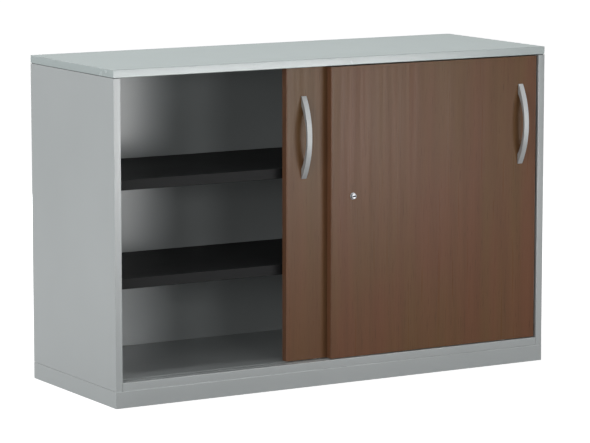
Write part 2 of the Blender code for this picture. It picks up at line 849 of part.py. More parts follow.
def build_guide_shoe(name, across, panel, door):
    """A shoe in the top edge of the door, whose tongue runs in the guide track."""
    middle = DOOR_THICKNESS / 2
    half_length = SHOE_LENGTH / 2
    half_width = SHOE_WIDTH / 2
    low = DOOR_HEIGHT - SHOE_DEPTH
    mortise = block(
        f"cut_{name}_mortise",
        (across - half_length - GAP, middle - half_width - GAP, low - GAP),
        (across + half_length + GAP, middle + half_width + GAP, DOOR_HEIGHT + OVERRUN),
        door,
    )
    cut(panel, mortise)
    shoe = rounded_box(
        (across - half_length, middle - half_width, low),
        (across + half_length, middle + half_width, DOOR_HEIGHT),
        SHOE_ROUND,
        name,
        door,
        HOUSING_BLACK,
    )
    tongue = rounded_box(
        (across - TONGUE_LENGTH / 2, middle - TONGUE_WIDTH / 2, low + SHOE_DEPTH / 2),
        (
            across + TONGUE_LENGTH / 2,
            middle + TONGUE_WIDTH / 2,
            DOOR_HEIGHT + DOOR_TOP_GAP + GUIDE_GROOVE_DEPTH - TONGUE_TOP_GAP,
        ),
        SHOE_ROUND,
        f"add_{name}_tongue",
        door,
        None,
    )
    join(shoe, tongue)


def build_handle(name, across, panel, door):
    """A crescent bow with a foot at each end, and the two screws that hold it."""
    outer = arc(
        HANDLE_LENGTH / 2,
        HANDLE_PROJECTION - HANDLE_END_HEIGHT,
        GAP + HANDLE_END_HEIGHT,
        ARC_STEPS,
    )
    inner = arc(HANDLE_GRIP_LENGTH / 2, HANDLE_GRIP_DEPTH, GAP, ARC_STEPS)
    half = HANDLE_LENGTH / 2
    points = [(-half, GAP), *outer, (half, GAP), *reversed(inner)]
    # The outline's own X runs up the door and its own Y out of it
    upright = (math.pi, -math.pi / 2, 0)
    handle = extruded_outline(
        name,
        points,
        HANDLE_WIDTH,
        (across, 0, HANDLE_HEIGHT),
        upright,
        door,
        SATIN_METAL,
    )
    round_edges(handle, HANDLE_ROUND, HANDLE_BEVEL_SEGMENTS)
    for end, step in (("lower", -1), ("upper", 1)):
        build_handle_screw(
            f"{name}_screw_{end}",
            (across, HANDLE_HEIGHT + step * HANDLE_SCREW_SPACING / 2),
            panel,
            handle,
            door,
        )


def build_handle_screw(name, spot, panel, handle, door):
    across, height = spot
    back = DOOR_THICKNESS - GAP
    cone_low = back - SCREW_HEAD_HEIGHT
    tip = -SCREW_BITE
    along_door = (math.pi / 2, 0, 0)  # turned shapes then rise towards the front
    screw_profile = [
        (0, -tip),
        (SCREW_RADIUS - SCREW_TIP / 2, -tip),
        (SCREW_RADIUS, -tip - SCREW_TIP),
        (SCREW_RADIUS, -cone_low),
        (SCREW_HEAD_RADIUS, -back),
        (0, -back),
    ]
    place = (across, 0, height)
    turned(name, screw_profile, place, along_door, door, ZINC_STEEL, steps=SMALL_ROUND_STEPS)
    hole = SCREW_RADIUS + GAP
    head_hole = SCREW_HEAD_RADIUS + GAP
    hole_profile = [
        (0, OVERRUN),
        (hole, OVERRUN),
        (hole, -cone_low),
        (head_hole, -back),
        (head_hole, -back - OVERRUN),
        (0, -back - OVERRUN),
    ]
    steps = SMALL_ROUND_STEPS
    through = turned(f"cut_{name}_through", hole_profile, place, along_door, door, steps=steps)
    cut(panel, through)
    blind_depth = SCREW_BITE + GAP
    blind_middle = (across, (OVERRUN - blind_depth) / 2, height)
    blind = rod(f"cut_{name}_blind", hole, OVERRUN + blind_depth, blind_middle, "Y", door)
    cut(handle, blind)


def build_lock(panel, door):
    """Barrel and nut in the door, a plunger that is pushed, and a plug that a key turns."""
    place = (LOCK_ACROSS, 0, LOCK_HEIGHT)
    to_front = (math.pi / 2, 0, 0)
    back = -(DOOR_THICKNESS - BARREL_BACK_INSET)
    rose_base = GAP
    rose_top = rose_base + ROSE_HEIGHT
    end_wall = back + BARREL_END_WALL
    pin_hole = PIN_RADIUS + GAP
    barrel = [
        (BARREL_BORE, rose_top),
        (ROSE_RADIUS - ROSE_ROUND, rose_top),
        (ROSE_RADIUS - ROSE_ROUND / 3, rose_top - ROSE_ROUND / 3),
        (ROSE_RADIUS, rose_top - ROSE_ROUND),
        (ROSE_RADIUS, rose_base),
        (BARREL_RADIUS, rose_base),
        (BARREL_RADIUS, back),
        (pin_hole, back),
        (pin_hole, end_wall),
        (BARREL_BORE, end_wall),
    ]
    turned("lock_barrel", barrel, place, to_front, door, CHROME, ring=True)
    barrel_hole_middle = (LOCK_ACROSS, DOOR_THICKNESS / 2, LOCK_HEIGHT)
    through = rod(
        "cut_lock_barrel",
        BARREL_RADIUS + GAP,
        DOOR_THICKNESS + 2 * OVERRUN,
        barrel_hole_middle,
        "Y",
        door,
        steps=ROUND_STEPS,
    )
    nut_middle_depth = DOOR_THICKNESS - BARREL_BACK_INSET - LOCK_NUT_HEIGHT / 2
    nut_middle = (LOCK_ACROSS, nut_middle_depth, LOCK_HEIGHT)
    nut = rod(
        "lock_nut",
        LOCK_NUT_RADIUS,
        LOCK_NUT_HEIGHT,
        nut_middle,
        "Y",
        door,
        ZINC_STEEL,
        steps=NUT_SIDES,
    )
    cut(nut, through)
    pocket_low = nut_middle_depth - LOCK_NUT_HEIGHT / 2 - GAP
    pocket_high = DOOR_THICKNESS + OVERRUN
    pocket = rod(
        "cut_lock_nut",
        LOCK_NUT_RADIUS + GAP,
        pocket_high - pocket_low,
        (LOCK_ACROSS, (pocket_low + pocket_high) / 2, LOCK_HEIGHT),
        "Y",
        door,
        steps=ROUND_STEPS,
    )
    cut(panel, through, pocket)

    face = rose_top + PLUNGER_STAND
    shoulder = end_wall + LOCK_TRAVEL + GAP
    pin_tip = -DOOR_THICKNESS - PIN_REACH + LOCK_TRAVEL
    plug_back = face - PLUG_LENGTH - GAP
    plug_hole = PLUG_RADIUS + GAP
    plunger = [
        (plug_hole, face),
        (PLUNGER_RADIUS - PLUNGER_ROUND, face),
        (PLUNGER_RADIUS, face - PLUNGER_ROUND),
        (PLUNGER_RADIUS, shoulder),
        (PIN_RADIUS, shoulder),
        (PIN_RADIUS, pin_tip),
        (0, pin_tip),
        (0, plug_back),
        (plug_hole, plug_back),
    ]
    turned("lock_plunger", plunger, place, to_front, door, CHROME, ring=True)
    plug = [
        (0, face),
        (PLUG_RADIUS, face),
        (PLUG_RADIUS, face - PLUG_LENGTH),
        (0, face - PLUG_LENGTH),
    ]
    key_plug = turned("lock_key_plug", plug, place, to_front, door, CHROME)
    keyway = block(
        "cut_lock_keyway",
        (LOCK_ACROSS - KEYWAY_LENGTH / 2, -face - OVERRUN, LOCK_HEIGHT - KEYWAY_WIDTH / 2),
        (LOCK_ACROSS + KEYWAY_LENGTH / 2, -face + KEYWAY_DEPTH, LOCK_HEIGHT + KEYWAY_WIDTH / 2),
        door,
    )
    cut(key_plug, keyway)


def build_strike(door):
    """An angle on the left door's trailing edge, level with the lock."""
    edge = DOOR_WIDTH / 2
    face = -GAP
    closed_edge = LEFT_DOOR_CLOSED + edge
    pin_side = RIGHT_DOOR_MIDDLE + LOCK_ACROSS - PIN_RADIUS
    reach = pin_side - STRIKE_PLAY - closed_edge
    low = LOCK_HEIGHT - STRIKE_HEIGHT / 2
    high = LOCK_HEIGHT + STRIKE_HEIGHT / 2
    strike = rounded_box(
        (edge - STRIKE_GRIP, face - STRIKE_THICKNESS, low),
        (edge + reach, face, high),
        STRIKE_ROUND,
        "lock_strike",
        door,
        ZINC_STEEL,
    )
    leg = block(
        "add_strike_leg",
        (edge + GAP, face - STRIKE_THICKNESS / 2, low + STRIKE_ROUND),
        (edge + GAP + STRIKE_THICKNESS, STRIKE_LEG, high - STRIKE_ROUND),
        door,
    )
    join(strike, leg)


def build_door(side, middle, face, handle_edge, root):
    """Builds a door on its own empty and returns the panel and the empty.

    The empty lies at the middle of the door's lower front edge. handle_edge is -1 where
    the handle is near the left edge and 1 where it is near the right.
    """
    door = joint_empty(f"{side}_door_slide", (middle, face, DOOR_BOTTOM), root)
    half = DOOR_WIDTH / 2
    core = half - BAND_THICKNESS - GLUE_LINE
    panel = rounded_box(
        (-core, 0, 0),
        (core, DOOR_THICKNESS, DOOR_HEIGHT),
        DOOR_ROUND,
        f"{side}_door_panel",
        door,
        DOOR_DECOR,
    )
    for edge, step in (("left", -1), ("right", 1)):
        low, high = sorted((step * half, step * (half - BAND_THICKNESS)))
        rounded_box(
            (low, 0, 0),
            (high, DOOR_THICKNESS, DOOR_HEIGHT),
            BAND_ROUND,
            f"{side}_door_band_{edge}",
            door,
            DOOR_BAND,
        )
        build_roller(f"{side}_door_roller_{edge}", step * (half - ROLLER_INSET), panel, door)
        build_guide_shoe(f"{side}_door_guide_{edge}", step * (half - SHOE_INSET), panel, door)
    build_handle(f"{side}_handle", handle_edge * (half - HANDLE_INSET), panel, door)
    return panel, door


def build_cupboard():
    root = joint_empty("cupboard", (0, CARCASS_FRONT, 0))
    build_carcass(root)
    left_panel, left_door = build_door("left", LEFT_DOOR_MIDDLE, LEFT_DOOR_FACE, -1, root)
    build_strike(left_door)
    right_panel, right_door = build_door("right", RIGHT_DOOR_MIDDLE, RIGHT_DOOR_FACE, 1, root)
    build_lock(right_panel, right_door)
    bpy.context.view_layer.update()


build_cupboard()
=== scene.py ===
"""The office cupboard's looks: the finishes of its nodes, its small screws, light and camera.

Lengths are in metres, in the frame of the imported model.
"""

import json
import math

import bmesh
import bpy
from mathutils import Matrix, Vector


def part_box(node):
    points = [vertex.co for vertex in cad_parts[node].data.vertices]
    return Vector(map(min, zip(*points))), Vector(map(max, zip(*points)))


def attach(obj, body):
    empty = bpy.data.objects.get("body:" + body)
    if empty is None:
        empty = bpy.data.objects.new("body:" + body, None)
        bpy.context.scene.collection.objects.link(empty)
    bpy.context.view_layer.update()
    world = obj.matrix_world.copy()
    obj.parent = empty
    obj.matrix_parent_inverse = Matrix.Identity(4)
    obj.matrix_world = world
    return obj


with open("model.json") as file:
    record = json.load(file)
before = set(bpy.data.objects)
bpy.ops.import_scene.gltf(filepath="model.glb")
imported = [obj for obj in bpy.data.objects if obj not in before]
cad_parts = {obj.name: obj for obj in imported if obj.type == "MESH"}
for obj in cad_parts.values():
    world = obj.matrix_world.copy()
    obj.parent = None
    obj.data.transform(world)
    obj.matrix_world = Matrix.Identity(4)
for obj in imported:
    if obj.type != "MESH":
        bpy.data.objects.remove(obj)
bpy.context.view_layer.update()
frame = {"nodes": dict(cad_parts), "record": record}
NODES = frame["nodes"]

# Camera, as the photograph was taken: turns in degrees, lens and sensor in millimetres
CAMERA_PLACE = (-3.85627, -6.54285, 1.47907)
CAMERA_PITCH = -8.3054
CAMERA_YAW = 30.528
CAMERA_LENS = 190.77
CAMERA_SENSOR = 36.0

# Light: name, place, point that it faces, width, height, radiance
LIGHTS = (
    ("front", (1.22, -2.90, 0.335), (0.26, -0.20, 0.50), 1.55, 0.65, 8.8),
    ("front_left", (-0.30, -2.90, 0.975), (-0.06, -0.20, 0.50), 0.60, 0.65, 5.0),
    ("above", (0.00, 0.00, 3.40), (0.00, 0.00, 0.60), 2.40, 2.00, 3.3),
    ("left_rear", (-3.40, 1.40, 1.30), (0.00, 0.00, 0.40), 1.80, 2.00, 6.1),
    ("left_front", (-3.20, -2.00, 1.30), (0.00, 0.00, 0.40), 1.80, 2.00, 4.0),
    ("fill", (-2.60, -2.90, 0.90), (0.00, 0.00, 0.45), 1.00, 0.90, 3.0),
    ("rear", (0.40, 3.30, 0.42), (0.00, 0.20, 0.42), 2.40, 0.70, 7.0),
    ("right", (3.40, 0.30, 0.42), (0.60, 0.00, 0.42), 2.00, 0.70, 7.0),
)
AMBIENT = 0.04

# Floor, and the distances between which its glow towards the camera grows
FLOOR_COLOUR = (0.50, 0.50, 0.50)
FLOOR_RADIUS = 60.0
FLOOR_SEGMENTS = 64
FLOOR_NEAR = 0.6
FLOOR_FAR = 1.3
FLOOR_GLOW_NEAR = 0.80
FLOOR_GLOW_FAR = 1.0

# Colours
GREY = (0.372, 0.396, 0.399)
WORN_GREY = (0.50, 0.52, 0.53)
TOP_GREY = (0.392, 0.443, 0.442)
BROWN = (0.146, 0.080, 0.035)
DARK_BROWN = (0.066, 0.031, 0.014)
RED_BROWN = (0.162, 0.069, 0.037)
BAND_BROWN = (0.160, 0.072, 0.036)
BARE_BOARD_PAINTED_LIGHT = (0.44, 0.33, 0.22)
BLACK = (0.012, 0.0125, 0.013)
WORN_BLACK = (0.05, 0.05, 0.052)
KEYWAY_PAINTED_SHADE = (0.012, 0.012, 0.013)
HOUSING_BLACK = (0.018, 0.018, 0.020)
LACQUERED_METAL = (0.445, 0.46, 0.465)
CHROME = (0.41, 0.41, 0.42)
CHROME_TINT = (0.37, 0.38, 0.40)
ZINC = (0.50, 0.51, 0.53)
ZINC_TINT = (0.52, 0.50, 0.45)
ROLLER_WHITE = (0.70, 0.70, 0.67)
RUBBER_GREY = (0.25, 0.25, 0.26)
# The clear layer over the top board tints what it mirrors
TOP_VEIL = (0.9985, 1.0, 0.9995)

# The parts of a noise's range that are stretched to its whole effect
WIDE = (0.3, 0.7)
NARROW = (0.35, 0.65)

# Cosines between the rounded and the plain normal where an edge begins and where it is full
EDGE_COSINES = (0.995, 0.90)
EDGE_SAMPLES = 4

# Painted shade: the shadow joint under the top, at the upper end of the sides, is painted dark
JOINT_HEIGHT = 0.00105
JOINT_BLUR = 0.00004
JOINT_SHADE = 0.06

# Painted highlight: a light line on the front where the folds of the plinth and the floor
# panel meet.
# It fades between two places along X
FOLD_LIFT = 0.0002
FOLD_HALF = 0.0011
FOLD_DEPTH = 0.0004
FOLD_BLUR = 0.0004
FOLD_FADE = (-0.15, 0.40)
FOLD_RIGHT_SHARE = 0.45
FOLD_HIGHLIGHT_TONE = 1.75

# Glue line of the top's edge band
GLUE_INSET = 0.002
GLUE_HALF = 0.00010
GLUE_BLUR = 0.00025

# Half the width and half the height of the painted shade in the mouth of the keyway
SLOT_HALF = (0.0044, 0.0019)
SLOT_BLUR = 0.0002

# Turn of the scratches in plated steel, in radians
SCRATCH_TURN = (0.3, 0.2, 0.7)

# Angle above which two faces meet in a sharp edge, and the distance within which points merge
SHARP_ANGLE = math.radians(30)
MERGE_DISTANCE = 0.00001
FLAT_WEIGHT = 100

# Screws: radius and height of the head, and depth of its cross recess
SMALL_SCREW = (0.0034, 0.0010, 0.0006)
BACK_SCREW = (0.0045, 0.0024, 0.0015)
STRIKE_SCREW = (0.0030, 0.0007, 0.0004)
HEAD_RIM = 0.35
HEAD_RINGS = 5
HEAD_STEPS = 24
# The recess's upper and lower half length and its half thickness, as shares of the radius
RECESS_UPPER = 0.62
RECESS_LOWER = 0.22
RECESS_THICK = 0.14
RECESS_TAPER = 0.8
# How far the first screw is turned and how much more each next one, in radians
FIRST_TURN = 0.3
NEXT_TURN = 0.9

# Places of the screws
SCREW_SINK = 0.0001
TRACK_SCREWS = 6
TRACK_SCREW_INSET = 0.06
BACK_SCREW_HEIGHTS = (0.12, 0.33, 0.54, 0.72)
BACK_SCREWS = 5
BACK_SCREW_REACH = 0.46
BACK_SCREW_SHIFT = 0.001
BACK_SHEET = 0.0009
STRIKE_SCREW_INSET = 0.0065
STRIKE_SCREW_SINK = 0.00005
STRIKE_SCREW_SHARES = (0.25, 0.75)


def add_camera():
    data = bpy.data.cameras.new("camera")
    data.lens = CAMERA_LENS
    data.sensor_width = CAMERA_SENSOR
    camera = bpy.data.objects.new("camera", data)
    camera.location = CAMERA_PLACE
    camera.rotation_euler = (math.radians(90 + CAMERA_PITCH), 0, math.radians(-CAMERA_YAW))
    bpy.context.scene.collection.objects.link(camera)
    bpy.context.scene.camera = camera


def shown_directly(tree):
    """1 on a ray from the camera, or one that is mirrored or refracted, and 0 on others."""
    path = tree.nodes.new("ShaderNodeLightPath")
    total = path.outputs["Is Camera Ray"]
    for name in ("Is Glossy Ray", "Is Transmission Ray"):
        larger = tree.nodes.new("ShaderNodeMath")
        larger.operation = "MAXIMUM"
        tree.links.new(total, larger.inputs[0])
        tree.links.new(path.outputs[name], larger.inputs[1])
        total = larger.outputs[0]
    return total


def add_world():
    """A world that shows as white and lights the object only faintly."""
    world = bpy.data.worlds.new("studio")
    bpy.context.scene.world = world
    world.use_nodes = True
    tree = world.node_tree
    background = tree.nodes["Background"]
    background.inputs["Color"].default_value = (1, 1, 1, 1)
    strength = tree.nodes.new("ShaderNodeMapRange")
    strength.inputs["To Min"].default_value = AMBIENT
    strength.inputs["To Max"].default_value = 1.0
    tree.links.new(shown_directly(tree), strength.inputs["Value"])
    tree.links.new(strength.outputs["Result"], background.inputs["Strength"])


def floor_material():
    """Matt and pale, with a glow towards the camera that leaves the object's shadow."""
    material = bpy.data.materials.new("floor")
    material.use_nodes = True
    tree = material.node_tree
    output = tree.nodes["Material Output"]
    tree.nodes.remove(tree.nodes["Principled BSDF"])
    matt = tree.nodes.new("ShaderNodeBsdfDiffuse")
    matt.inputs["Color"].default_value = (*FLOOR_COLOUR, 1)
    glow = tree.nodes.new("ShaderNodeEmission")
    glow.inputs["Color"].default_value = (1, 1, 1, 1)
    path = tree.nodes.new("ShaderNodeLightPath")
    place = tree.nodes.new("ShaderNodeTexCoord")
    away = tree.nodes.new("ShaderNodeVectorMath")
    away.operation = "LENGTH"
    tree.links.new(place.outputs["Object"], away.inputs[0])
    level = tree.nodes.new("ShaderNodeMapRange")
    for key, value in (
        ("From Min", FLOOR_NEAR),
        ("From Max", FLOOR_FAR),
        ("To Min", FLOOR_GLOW_NEAR),
        ("To Max", FLOOR_GLOW_FAR),
    ):
        level.inputs[key].default_value = value
    tree.links.new(away.outputs["Value"], level.inputs["Value"])
    strength = tree.nodes.new("ShaderNodeMath")
    strength.operation = "MULTIPLY"
    tree.links.new(path.outputs["Is Camera Ray"], strength.inputs[0])
    tree.links.new(level.outputs["Result"], strength.inputs[1])
    tree.links.new(strength.outputs[0], glow.inputs["Strength"])
    total = tree.nodes.new("ShaderNodeAddShader")
    tree.links.new(matt.outputs[0], total.inputs[0])
    tree.links.new(glow.outputs[0], total.inputs[1])
    tree.links.new(total.outputs[0], output.inputs["Surface"])
    return material


def add_floor():
    shape = bmesh.new()
    bmesh.ops.create_circle(
        shape, cap_ends=True, segments=FLOOR_SEGMENTS, radius=FLOOR_RADIUS
    )
    floor = made_object("floor", shape)
    floor.data.materials.append(floor_material())


def add_lights():
    for name, place, target, width, height, radiance in LIGHTS:
        data = bpy.data.lights.new(name, "AREA")
        data.shape = "RECTANGLE"
        data.size = width
        data.size_y = height
        data.energy = radiance * math.pi * width * height
        light = bpy.data.objects.new(name, data)
        light.location = place
        towards = Vector(target) - Vector(place)
        light.rotation_euler = towards.to_track_quat("-Z", "Y").to_euler()
        light.visible_camera = False
        bpy.context.scene.collection.objects.link(light)


def shade(colour, share):
    return tuple(channel * share for channel in colour)


class Look:
    """One Principled material, with short ways to add the nodes that give it detail.

    Further sockets of the shader are given by name, with _ for each space.
    """

    def __init__(self, name, colour, roughness, metallic=0.0, **sockets):
        self.material = bpy.data.materials.new("look_" + name)
        self.material.use_nodes = True
        self.tree = self.material.node_tree
        self.shader = self.tree.nodes["Principled BSDF"]
        self.shader.inputs["Base Color"].default_value = (*colour, 1.0)
        self.shader.inputs["Roughness"].default_value = roughness
        self.shader.inputs["Metallic"].default_value = metallic
        for socket, value in sockets.items():
            self.shader.inputs[socket.replace("_", " ")].default_value = value
        self.normal = None
        self.place = self.add("ShaderNodeTexCoord").outputs["Object"]

    def add(self, kind, **settings):
        made = self.tree.nodes.new(kind)
        for key, value in settings.items():
            setattr(made, key, value)
        return made

    def feed(self, socket, value):
        """Links an output to a socket, or sets the socket to a plain value."""
        if isinstance(value, bpy.types.NodeSocket):
            self.tree.links.new(value, socket)
        elif socket.type == "RGBA" and len(value) == 3:
            socket.default_value = (*value, 1.0)
        else:
            socket.default_value = value

    def feed_all(self, node, **values):
        """Feeds a node's inputs by name, with _ for each space."""
        for key, value in values.items():
            self.feed(node.inputs[key.replace("_", " ")], value)

    def stretched(self, *scales, turn=(0, 0, 0)):
        mapping = self.add("ShaderNodeMapping")
        self.feed_all(mapping, Vector=self.place, Rotation=turn, Scale=scales)
        return mapping.outputs["Vector"]

    def noise(self, scale, detail, rough=0.5, twist=0.0, place=None):
        made = self.add("ShaderNodeTexNoise")
        self.feed_all(
            made,
            Vector=place or self.place,
            Scale=scale,
            Detail=detail,
            Roughness=rough,
            Distortion=twist,
        )
        return made.outputs["Fac"]

    def streaks(self, scale, detail, rough, squeeze, twist=0.0):
        """Noise drawn out along Z, where its scale is squeezed to a share."""
        return self.noise(scale, detail, rough, twist, self.stretched(1.0, 1.0, squeeze))

    def span(self, value, low, high, to_low=0.0, to_high=1.0):
        """Maps low..high onto to_low..to_high, clamped at both ends."""
        made = self.add("ShaderNodeMapRange")
        self.feed_all(
            made, Value=value, From_Min=low, From_Max=high, To_Min=to_low, To_Max=to_high
        )
        return made.outputs["Result"]

    def maths(self, operation, first, second):
        made = self.add("ShaderNodeMath", operation=operation)
        self.feed(made.inputs[0], first)
        self.feed(made.inputs[1], second)
        return made.outputs[0]

    def times(self, first, second):
        return self.maths("MULTIPLY", first, second)

    def mix(self, share, first, second, mode="MIX"):
        made = self.add("ShaderNodeMix", data_type="RGBA", blend_type=mode)
        # The colours are this node's inputs 6 and 7 and its output 2
        self.feed(made.inputs[0], share)
        self.feed(made.inputs[6], first)
        self.feed(made.inputs[7], second)
        return made.outputs[2]

    def varied(self, value, spread, colour, low, high):
        """The colour at low to high times its brightness, as value crosses the spread."""
        return self.mix(self.span(value, *spread), shade(colour, low), shade(colour, high))

    def touched(self, base, mask, share, tone):
        """The base with a share of the tone over it where the mask is 1."""
        return self.mix(self.times(mask, share), base, tone)

    def axis(self, name):
        made = self.add("ShaderNodeSeparateXYZ")
        self.feed(made.inputs[0], self.place)
        return made.outputs[name]

    def off(self, axis, place):
        """Distance from the plane square to an axis at a place."""
        return self.maths("ABSOLUTE", self.maths("SUBTRACT", self.axis(axis), place), 0.0)

    def facing(self, axis):
        """1 on faces square to an axis and 0 on those along it."""
        parts = self.add("ShaderNodeSeparateXYZ")
        self.feed(parts.inputs[0], self.add("ShaderNodeNewGeometry").outputs["Normal"])
        return self.maths("ABSOLUTE", parts.outputs[axis], 0.0)

    def edges(self, radius, soften=True):
        """1 at the part's own edges and 0 on its flats. Can round the edges' shading too."""
        soft = self.add("ShaderNodeBevel", samples=EDGE_SAMPLES)
        self.feed(soft.inputs["Radius"], radius)
        if soften:
            self.normal = soft.outputs["Normal"]
        plain = self.add("ShaderNodeNewGeometry").outputs["Normal"]
        along = self.add("ShaderNodeVectorMath", operation="DOT_PRODUCT")
        self.feed(along.inputs[0], soft.outputs["Normal"])
        self.feed(along.inputs[1], plain)
        return self.span(along.outputs["Value"], *EDGE_COSINES)

    def bump(self, height, depth, strength):
        made = self.add("ShaderNodeBump")
        self.feed_all(made, Height=height, Distance=depth, Strength=strength)
        if self.normal:
            self.feed(made.inputs["Normal"], self.normal)
        self.normal = made.outputs["Normal"]

    def finish(self, colour, roughness):
        self.feed_all(self.shader, Base_Color=colour, Roughness=roughness, Normal=self.normal)
        return self.material


def painted_joint_shade(look, base, colour):
    """The base with painted shade in the shadow joint under the top."""
    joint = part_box("top_panel")[0].z - JOINT_HEIGHT
    painted_shade_mask = look.span(look.axis("Z"), joint, joint + JOINT_BLUR)
    return look.mix(painted_shade_mask, base, shade(colour, JOINT_SHADE))


def painted_fold_highlight(look, base, colour):
    """The base with a painted highlight: a light line over the plinth's front fold, strongest
    at the left.
    """
    low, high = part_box("plinth_front")
    fold = look.span(look.off("Z", high.z + FOLD_LIFT), FOLD_HALF + FOLD_BLUR, FOLD_HALF)
    depth = low.y + FOLD_DEPTH
    front = look.span(look.axis("Y"), depth + FOLD_BLUR, depth)
    left = look.span(look.axis("X"), *FOLD_FADE, 1.0, FOLD_RIGHT_SHARE)
    return look.mix(look.times(look.times(fold, front), left), base, shade(colour, FOLD_HIGHLIGHT_TONE))


def powder_coat(name, colour, roughness, gloss_level, worn):
    """Baked paint on sheet steel: a faint orange peel, cloudy gloss, rubbed edges, painted
    highlights along the edges and on the plinth's fold, and painted shade in the joint under
    the top.
    """
    look = Look(name, colour, roughness, Specular_IOR_Level=gloss_level)
    edge = look.edges(0.0011, soften=False)
    peel = look.noise(230, 2.0)
    grain = look.noise(1500, 2.0, 0.6)
    cloud = look.noise(2.6, 3.0, 0.55)
    rub = look.times(edge, look.span(look.noise(38, 4.0, 0.7), 0.42, 0.66))
    base = look.varied(cloud, WIDE, colour, 0.975, 1.025)
    darker = look.mix(1.0, base, (0.97, 0.97, 0.97), "MULTIPLY")
    base = look.mix(look.span(grain, *NARROW), base, darker)
    # Painted highlight: every edge lighter, as where the rounded folds catch light
    base = look.touched(base, edge, 0.55, shade(colour, 1.7))
    base = look.touched(base, rub, 0.5, worn)
    base = painted_joint_shade(look, base, colour)
    base = painted_fold_highlight(look, base, colour)
    wipe = look.noise(1.0, 5.0, 0.62, 0.4, look.stretched(5.0, 5.0, 1.6))
    gloss = look.span(wipe, *WIDE, roughness - 0.018, roughness + 0.022)
    look.bump(peel, 0.00006, 0.35)
    look.bump(grain, 0.00002, 0.30)
    return look.finish(base, gloss)


def glue_lines(look):
    """1 on the glue line of the edge band, along the border of the top's upper face."""
    low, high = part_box("top_panel")
    lines = []
    for axis, near, far in (("X", low.x, high.x), ("Y", low.y, high.y)):
        inset = (far - near) / 2 - GLUE_INSET
        off = look.maths("SUBTRACT", look.off(axis, (near + far) / 2), inset)
        miss = look.maths("ABSOLUTE", off, 0.0)
        lines.append(look.span(miss, GLUE_HALF + GLUE_BLUR, GLUE_HALF))
    return look.maths("MAXIMUM", *lines)


def faced_board(name, colour, roughness, band_roughness):
    """A melamine-faced board with a glued edge band."""
    look = Look(
        name,
        colour,
        roughness,
        Specular_IOR_Level=0.8,
        Coat_Weight=1.0,
        Coat_IOR=1.0,
        Coat_Tint=(*TOP_VEIL, 1.0),
    )
    edge = look.edges(0.0004, soften=False)
    pearl = look.noise(900, 2.0, 0.6)
    cloud = look.noise(3.2, 3.0)
    base = look.varied(cloud, WIDE, colour, 0.988, 1.012)
    fleck = look.span(look.noise(2400, 1.0), 0.62, 0.72)
    base = look.touched(base, fleck, 0.10, shade(colour, 0.82))
    # The edge band is a little lighter than the faces; its darker sides are painted shade
    upright = look.span(look.facing("Z"), 0.7, 0.3)
    base = look.mix(upright, base, shade(colour, 1.03))
    side_painted_shade = look.span(look.facing("X"), 0.3, 0.7)
    base = look.mix(side_painted_shade, base, shade(colour, 0.93))
    base = look.touched(base, glue_lines(look), 0.12, shade(colour, 0.45))
    # Painted highlight along the edges
    base = look.touched(base, edge, 0.25, shade(colour, 1.12))
    smear = look.noise(9.0, 4.0, 0.6)
    gloss = look.span(smear, *WIDE, roughness - 0.012, roughness + 0.015)
    gloss = look.maths("SUBTRACT", gloss, look.times(upright, roughness - band_roughness))
    look.bump(pearl, 0.00001, 0.4)
    return look.finish(base, gloss)


def wood_decor(name, light, dark, red, roughness):
    """A printed walnut decor whose grain runs upwards, on a board whose upper and lower edges
    show bare chipboard in a light colour that is also painted light.
    """
    look = Look(name, light, roughness, Specular_IOR_Level=0.17)
    edge = look.edges(0.0008)
    flame = look.stretched(1.0, 1.0, 0.10)
    zone = look.streaks(21.0, 2.0, 0.5, 0.045, 0.3)
    warp = look.noise(3.2, 3.0, 0.55, place=flame)
    rings = look.add("ShaderNodeTexWave", wave_type="BANDS", bands_direction="X")
    look.feed_all(
        rings, Vector=flame, Scale=7.0, Distortion=9.0, Detail=3.0, Detail_Scale=0.9
    )
    ring = rings.outputs["Fac"]
    fibre = look.streaks(130, 3.0, 0.6, 0.018)
    hair = look.streaks(620, 2.0, 0.6, 0.022)
    pore = look.span(look.streaks(520, 1.0, 0.5, 0.045), 0.64, 0.72)
    tide = look.streaks(4.2, 2.0, 0.5, 0.35, 0.6)
    base = look.mix(look.span(look.mix(0.62, zone, tide), 0.40, 0.60), light, red)
    base = look.mix(look.span(warp, *WIDE, 0.0, 0.12), base, dark)
    base = look.mix(look.span(ring, 0.15, 0.95, 0.0, 0.14), base, dark)
    base = look.mix(look.span(fibre, 0.35, 0.68, 0.0, 0.17), base, dark)
    base = look.mix(look.span(hair, *NARROW, 0.0, 0.12), base, shade(light, 1.35))
    base = look.touched(base, pore, 0.30, shade(dark, 0.55))
    # Painted highlight along the edges
    base = look.touched(base, edge, 0.18, shade(light, 1.5))
    # The upper and lower edges of the board show bare chipboard, painted light that also lifts
    # the shade in the gap under the top
    bare_edge_painted_light = look.span(look.facing("Z"), 0.8, 0.9)
    chips = look.varied(look.noise(700, 3.0, 0.7), NARROW, BARE_BOARD_PAINTED_LIGHT, 1.0, 0.6)
    base = look.mix(bare_edge_painted_light, base, chips)
    gloss = look.span(fibre, *WIDE, roughness - 0.04, roughness + 0.05)
    look.bump(look.maths("SUBTRACT", hair, pore), 0.00003, 0.4)
    return look.finish(base, gloss)


def edge_band(name, colour, roughness):
    """A plastic edge band printed to go with the decor."""
    look = Look(name, colour, roughness)
    edge = look.edges(0.0007)
    fibre = look.streaks(420, 2.0, 0.6, 0.02)
    cloud = look.streaks(6.0, 2.0, 0.5, 0.2)
    base = look.varied(fibre, NARROW, colour, 0.82, 1.16)
    base = look.mix(look.span(cloud, *WIDE, 0.0, 0.3), base, shade(colour, 0.75))
    # Painted highlight along the edges
    base = look.touched(base, edge, 0.35, shade(colour, 1.7))
    gloss = look.span(cloud, *WIDE, roughness - 0.05, roughness + 0.05)
    look.bump(fibre, 0.00003, 0.35)
    return look.finish(base, gloss)


